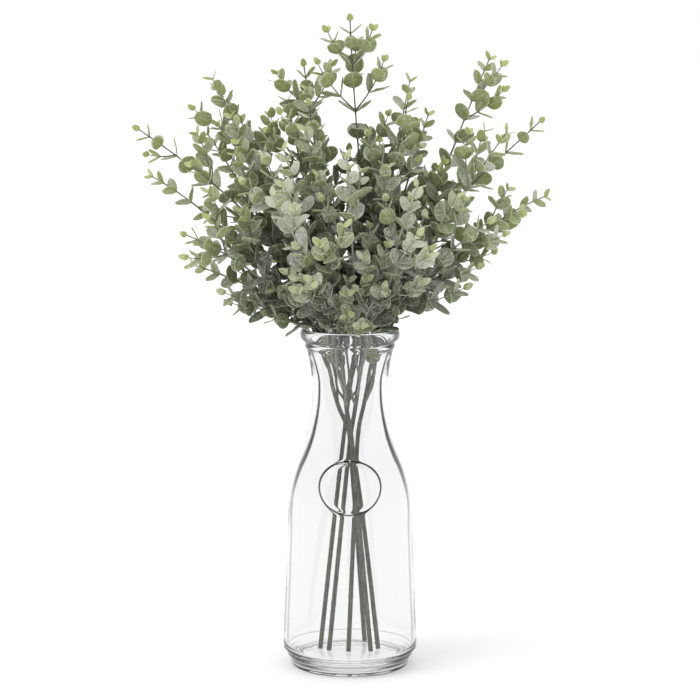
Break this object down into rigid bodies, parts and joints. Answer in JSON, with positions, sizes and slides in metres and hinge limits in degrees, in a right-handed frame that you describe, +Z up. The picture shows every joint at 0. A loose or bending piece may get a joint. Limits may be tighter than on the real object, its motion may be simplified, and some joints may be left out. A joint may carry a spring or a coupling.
{
  "type": "eucalyptus branches in a glass bottle",
  "caption": "Bunch of eucalyptus branches with round leaves in opposite pairs, standing in a clear glass bottle with a waisted neck.",
  "frame": {"origin": "centre of the bottle's flat foot", "axes": "+Z up along the bottle's axis, -Y towards the front with the raised oval, +X to the right seen from the front"},
  "size_m": [0.3201, 0.2202, 0.5],
  "materials": {
    "bottle_glass": "clear, smooth, glossy soda-lime glass",
    "leaf_green": "matt grey-green leaves with a whitish bloom, on thin dull green stems"
  },
  "bodies": {
    "root": {"bottle": "bottle_glass", "leafy_stem_1": "leaf_green", "leafy_stem_2": "leaf_green", "leafy_stem_3": "leaf_green", "leafy_stem_4": "leaf_green", "leafy_stem_5": "leaf_green", "leafy_stem_6": "leaf_green"}
  },
  "joints": []
}
